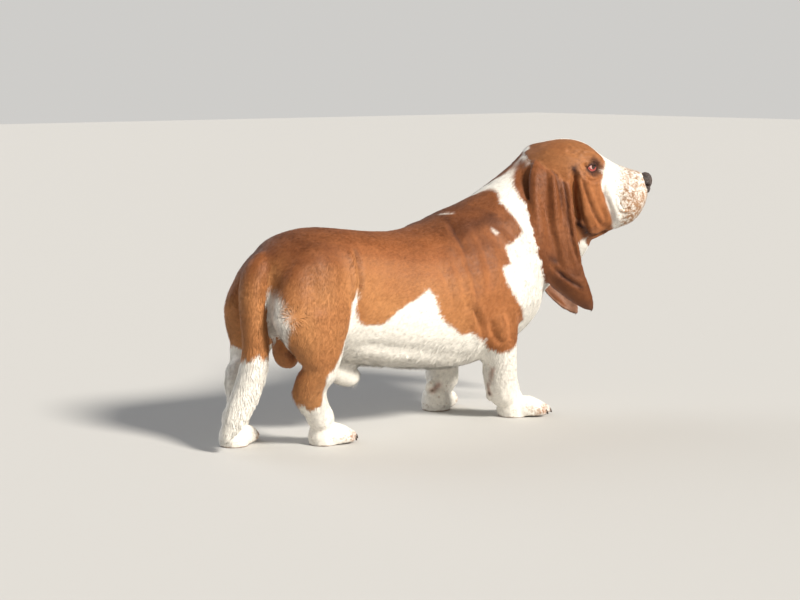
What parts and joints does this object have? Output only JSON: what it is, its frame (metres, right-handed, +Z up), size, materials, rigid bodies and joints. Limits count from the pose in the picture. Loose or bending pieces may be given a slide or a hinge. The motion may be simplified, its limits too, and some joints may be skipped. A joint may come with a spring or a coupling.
{
  "type": "basset hound",
  "caption": "Life-size basset hound standing still with its head raised and turned to its right, long ears hanging, tail down, forelegs and hind legs in a short stride.",
  "frame": {"origin": "on the floor, below the middle of the whole animal's bounding box", "axes": "+X to the front of the dog, +Y to its left, +Z up"},
  "size_m": [0.8028, 0.2824, 0.4653],
  "materials": {
    "coat_red": "short red-brown hair",
    "coat_dark": "velvety dark red-brown hair",
    "coat_white": "short white hair",
    "nose_leather": "moist, dark",
    "eye": "wet, dark brown"
  },
  "bodies": {
    "root": {"head": "coat_red", "neck": "coat_red", "torso": "coat_red", "thigh_left": "coat_red", "thigh_right": "coat_red", "tail": "coat_red", "ear_left": "coat_dark", "ear_right": "coat_dark", "scrotum": "coat_dark", "jaw": "coat_white", "foreleg_left": "coat_white", "foreleg_right": "coat_white", "hindleg_left": "coat_white", "hindleg_right": "coat_white", "forepaw_left": "coat_white", "forepaw_right": "coat_white", "hindpaw_left": "coat_white", "hindpaw_right": "coat_white", "nose": "nose_leather", "eye_left": "eye", "eye_right": "eye"}
  },
  "joints": []
}
